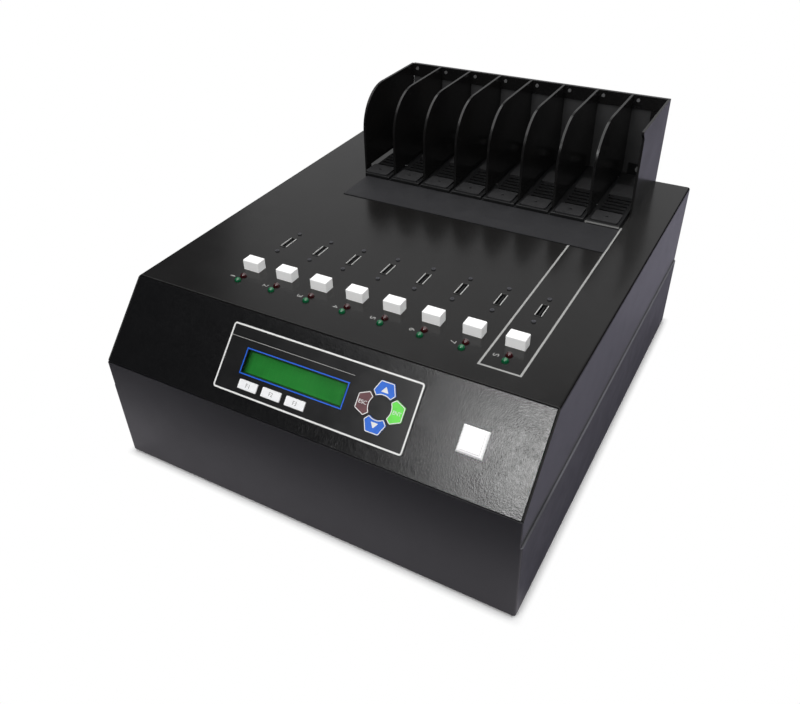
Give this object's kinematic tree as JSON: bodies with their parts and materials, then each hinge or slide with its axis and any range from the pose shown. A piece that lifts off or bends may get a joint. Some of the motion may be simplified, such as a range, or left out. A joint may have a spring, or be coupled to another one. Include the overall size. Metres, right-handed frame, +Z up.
{
  "type": "hard drive duplicator",
  "caption": "Desktop copier for bare hard drives: steel case with sloping keypad and display, select buttons, lamps and ports on top, and an open rack of drive bays.",
  "frame": {"origin": "on the floor, under the middle of the whole object's bounding box", "axes": "+X to the right and +Y to the back as seen from the front with the control panel, +Z up"},
  "size_m": [0.341, 0.3906, 0.2205],
  "materials": {
    "case_black": "satin",
    "plate_black": "textured",
    "rack_black": "satin",
    "tray_black": "matt",
    "panel_black": "satin",
    "rim_blue": "gloss",
    "clear": "clear",
    "lcd_green": "satin",
    "frame_steel": "blackened",
    "board_green": "satin",
    "key_white": "satin",
    "key_blue": "satin",
    "key_maroon": "satin",
    "key_green": "satin",
    "button_white": "satin",
    "led_green": "gloss",
    "led_red": "gloss",
    "port_metal": "bright",
    "black_plastic": "satin",
    "dark_screw": "blackened",
    "zinc_screw": "zinc plated",
    "rubber": "matt",
    "mat_grey": "matt",
    "chrome": "polished",
    "supply_steel": "galvanised",
    "sink_aluminium": "anodised",
    "standoff_brass": "turned",
    "dark_parts": "satin"
  },
  "bodies": {
    "duplicator": {"base_chassis": "case_black", "top_cover": "case_black", "control_plate": "plate_black", "control_overlay": "panel_black", "lcd_bezel": "rim_blue", "lcd_window": "clear", "lcd_frame": "frame_steel", "lcd_screen": "lcd_green", "lcd_board": "board_green", "power_button_housing": "button_white", "green_leds": "led_green", "red_leds": "led_red", "port_shells": "port_metal", "port_inserts": "black_plastic", "port_screws": "dark_screw", "rack_tray": "tray_black", "bay_pads": "rubber", "rack_back": "rack_black", "left_end_panel": "rack_black", "right_end_panel": "rack_black", "divider_1": "rack_black", "divider_2": "rack_black", "divider_3": "rack_black", "divider_4": "rack_black", "divider_5": "rack_black", "divider_6": "rack_black", "divider_7": "rack_black", "front_mat": "mat_grey", "keypad_board": "board_green", "keypad_switches": "dark_parts", "button_board": "board_green", "select_switches": "dark_parts", "main_board": "board_green", "board_standoffs": "standoff_brass", "board_parts": "dark_parts", "heat_sink": "sink_aluminium", "power_supply": "supply_steel", "ac_inlet": "black_plastic", "fan_frame": "black_plastic", "fan_guard": "chrome", "feet": "rubber", "case_screws": "zinc_screw"},
    "key_f1": {"key_f1": "key_white"},
    "key_f2": {"key_f2": "key_white"},
    "key_f3": {"key_f3": "key_white"},
    "key_up": {"key_up": "key_blue"},
    "key_down": {"key_down": "key_blue"},
    "key_esc": {"key_esc": "key_maroon"},
    "key_enter": {"key_enter": "key_green"},
    "power_button": {"power_button": "button_white"},
    "select_button_1": {"select_button_1": "button_white"},
    "select_button_2": {"select_button_2": "button_white"},
    "select_button_3": {"select_button_3": "button_white"},
    "select_button_4": {"select_button_4": "button_white"},
    "select_button_5": {"select_button_5": "button_white"},
    "select_button_6": {"select_button_6": "button_white"},
    "select_button_7": {"select_button_7": "button_white"},
    "select_button_8": {"select_button_8": "button_white"},
    "rocker": {"rocker_switch": "black_plastic"},
    "rotor": {"fan_rotor": "black_plastic"}
  },
  "joints": [
    {"name": "select_button_1_press", "type": "slide", "parent": "duplicator", "child": "select_button_1", "axis": [0, 0, -1], "range_m": [0, 0.0015], "stiffness_N_per_m": 500, "springref_m": -0.001},
    {"name": "select_button_2_press", "type": "slide", "parent": "duplicator", "child": "select_button_2", "axis": [0, 0, -1], "range_m": [0, 0.0015], "stiffness_N_per_m": 500, "springref_m": -0.001},
    {"name": "select_button_3_press", "type": "slide", "parent": "duplicator", "child": "select_button_3", "axis": [0, 0, -1], "range_m": [0, 0.0015], "stiffness_N_per_m": 500, "springref_m": -0.001},
    {"name": "select_button_4_press", "type": "slide", "parent": "duplicator", "child": "select_button_4", "axis": [0, 0, -1], "range_m": [0, 0.0015], "stiffness_N_per_m": 500, "springref_m": -0.001},
    {"name": "select_button_5_press", "type": "slide", "parent": "duplicator", "child": "select_button_5", "axis": [0, 0, -1], "range_m": [0, 0.0015], "stiffness_N_per_m": 500, "springref_m": -0.001},
    {"name": "select_button_6_press", "type": "slide", "parent": "duplicator", "child": "select_button_6", "axis": [0, 0, -1], "range_m": [0, 0.0015], "stiffness_N_per_m": 500, "springref_m": -0.001},
    {"name": "select_button_7_press", "type": "slide", "parent": "duplicator", "child": "select_button_7", "axis": [0, 0, -1], "range_m": [0, 0.0015], "stiffness_N_per_m": 500, "springref_m": -0.001},
    {"name": "select_button_8_press", "type": "slide", "parent": "duplicator", "child": "select_button_8", "axis": [0, 0, -1], "range_m": [0, 0.0015], "stiffness_N_per_m": 500, "springref_m": -0.001},
    {"name": "key_f1_press", "type": "slide", "parent": "duplicator", "child": "key_f1", "axis": [0, 0.7141, -0.7001], "range_m": [0, 0.0006], "stiffness_N_per_m": 900, "springref_m": -0.0005},
    {"name": "key_f2_press", "type": "slide", "parent": "duplicator", "child": "key_f2", "axis": [0, 0.7141, -0.7001], "range_m": [0, 0.0006], "stiffness_N_per_m": 900, "springref_m": -0.0005},
    {"name": "key_f3_press", "type": "slide", "parent": "duplicator", "child": "key_f3", "axis": [0, 0.7141, -0.7001], "range_m": [0, 0.0006], "stiffness_N_per_m": 900, "springref_m": -0.0005},
    {"name": "key_up_press", "type": "slide", "parent": "duplicator", "child": "key_up", "axis": [0, 0.7141, -0.7001], "range_m": [0, 0.0006], "stiffness_N_per_m": 900, "springref_m": -0.0005},
    {"name": "key_down_press", "type": "slide", "parent": "duplicator", "child": "key_down", "axis": [0, 0.7141, -0.7001], "range_m": [0, 0.0006], "stiffness_N_per_m": 900, "springref_m": -0.0005},
    {"name": "key_esc_press", "type": "slide", "parent": "duplicator", "child": "key_esc", "axis": [0, 0.7141, -0.7001], "range_m": [0, 0.0006], "stiffness_N_per_m": 900, "springref_m": -0.0005},
    {"name": "key_enter_press", "type": "slide", "parent": "duplicator", "child": "key_enter", "axis": [0, 0.7141, -0.7001], "range_m": [0, 0.0006], "stiffness_N_per_m": 900, "springref_m": -0.0005},
    {"name": "power_button_press", "type": "slide", "parent": "duplicator", "child": "power_button", "axis": [0, 0.7141, -0.7001], "range_m": [0, 0.0015], "stiffness_N_per_m": 500, "springref_m": -0.001},
    {"name": "rocker_hinge", "type": "hinge", "parent": "duplicator", "child": "rocker", "pos_m": [-0.12, 0.1905, 0.081], "axis": [1, 0, 0], "range_deg": [0, 20]},
    {"name": "fan_spin", "type": "hinge", "parent": "duplicator", "child": "rotor", "pos_m": [0.075, 0.179, 0.075], "axis": [0, 1, 0], "continuous": true}
  ]
}
